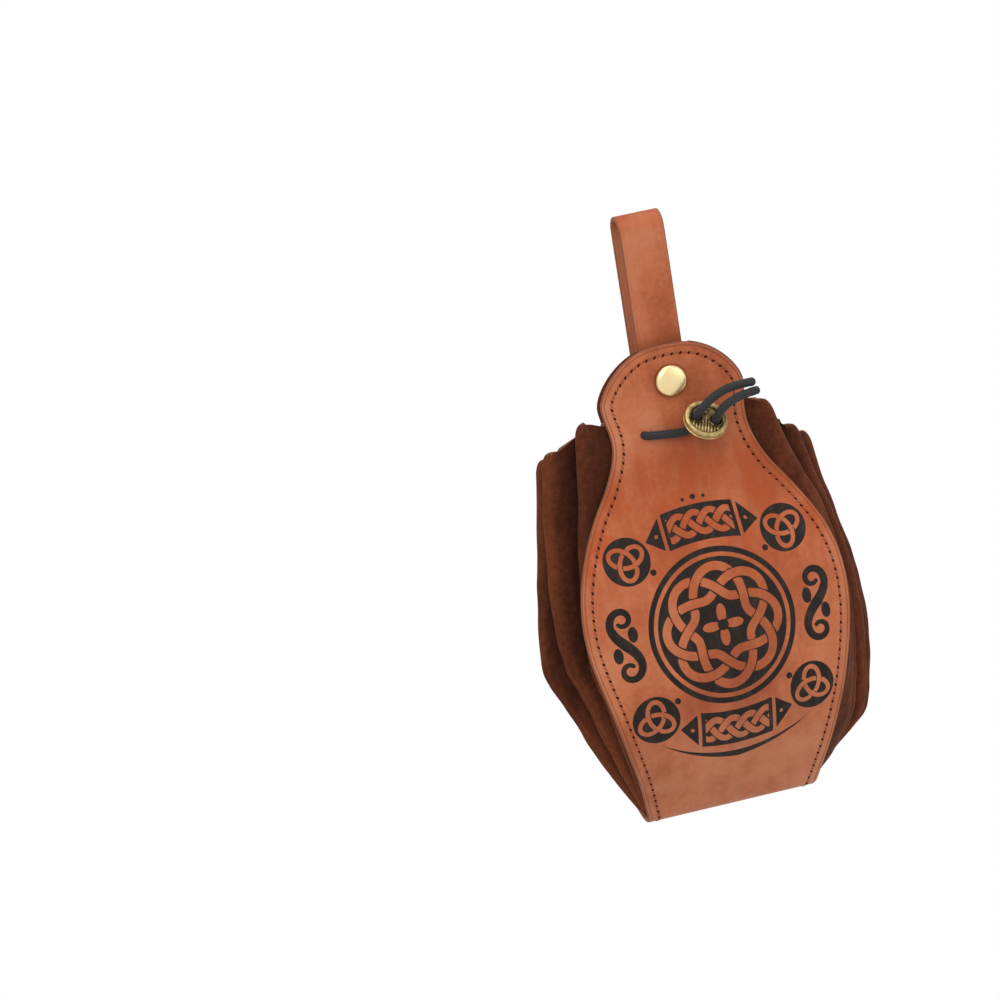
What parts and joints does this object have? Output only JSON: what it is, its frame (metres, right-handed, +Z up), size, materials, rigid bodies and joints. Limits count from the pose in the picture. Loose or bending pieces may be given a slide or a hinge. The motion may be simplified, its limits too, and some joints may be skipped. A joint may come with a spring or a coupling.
{
  "type": "belt pouch",
  "caption": "Hanging drawstring belt pouch: a folded leather panel front and back with a pleated suede bag between, a snap-fastened belt loop, and a round cord through a toggle bead.",
  "frame": {"origin": "the middle of the belt loop's inner top, where the belt bears", "axes": "+Z up as the pouch hangs, -Y toward the viewer of the decorated front, +X to that viewer's right"},
  "size_m": [0.1315, 0.0523, 0.2354],
  "materials": {
    "tan_leather": "smooth waxed vegetable-tanned leather, semi-matt, with pale raw edges",
    "dark_suede": "napped suede, matt, lighter along the pleats",
    "polished_brass": "smooth bright pale brass",
    "antique_brass": "darkened cast brass, bright on the ridges",
    "black_cord": "round braided waxed cord"
  },
  "bodies": {
    "root": {"outer_panel": "tan_leather", "head_lining": "dark_suede", "bag": "dark_suede", "belt_loop": "tan_leather", "snap_cap": "polished_brass", "snap_stud": "polished_brass", "drawstring": "black_cord", "toggle_bead": "antique_brass"}
  },
  "joints": []
}
